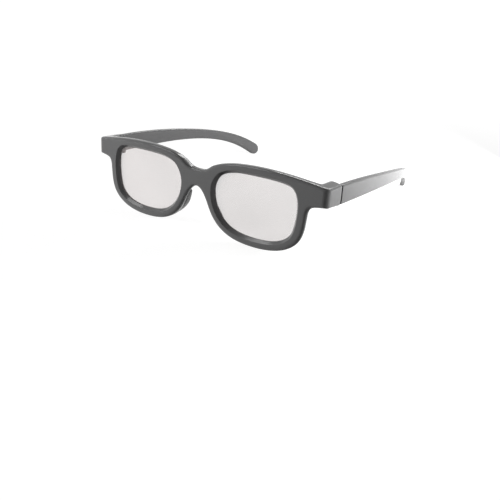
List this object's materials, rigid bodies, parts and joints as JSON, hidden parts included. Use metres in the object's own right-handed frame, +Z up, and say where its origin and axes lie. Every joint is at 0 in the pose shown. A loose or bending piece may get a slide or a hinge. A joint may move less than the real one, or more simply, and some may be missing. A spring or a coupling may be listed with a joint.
{
  "type": "3-d glasses",
  "caption": "Passive 3-D viewing glasses: a one-piece moulded front with laminated film lenses, and folding temples with curved tips that hook behind the ears.",
  "frame": {"origin": "middle of the footprint, on the surface that the rims and the temple tips rest on", "axes": "+X to the wearer's left, +Y from the front to the temple tips, +Z up"},
  "size_m": [0.1482, 0.14, 0.0402],
  "materials": {
    "frame_plastic": "glossy injection moulding",
    "retainer_plastic": "as moulded",
    "clear_film": "clear optical film",
    "polariser_film": "neutral grey polarising film",
    "pin_steel": "plain drawn wire"
  },
  "bodies": {
    "front": {"front_frame": "frame_plastic", "left_retainer": "retainer_plastic", "right_retainer": "retainer_plastic", "left_cover_film": "clear_film", "left_retarder_film": "clear_film", "left_polariser_film": "polariser_film", "left_backing_film": "clear_film", "right_cover_film": "clear_film", "right_retarder_film": "clear_film", "right_polariser_film": "polariser_film", "right_backing_film": "clear_film", "left_hinge_pin": "pin_steel", "right_hinge_pin": "pin_steel"},
    "left_arm": {"left_temple": "frame_plastic"},
    "right_arm": {"right_temple": "frame_plastic"}
  },
  "joints": [
    {"name": "left_temple_fold", "type": "hinge", "parent": "front", "child": "left_arm", "pos_m": [0.068, -0.05306, 0.03106], "axis": [0, 0.0794, 0.9968], "range_deg": [0, 86]},
    {"name": "right_temple_fold", "type": "hinge", "parent": "front", "child": "right_arm", "pos_m": [-0.068, -0.05306, 0.03106], "axis": [0, -0.0794, -0.9968], "range_deg": [0, 80]}
  ]
}
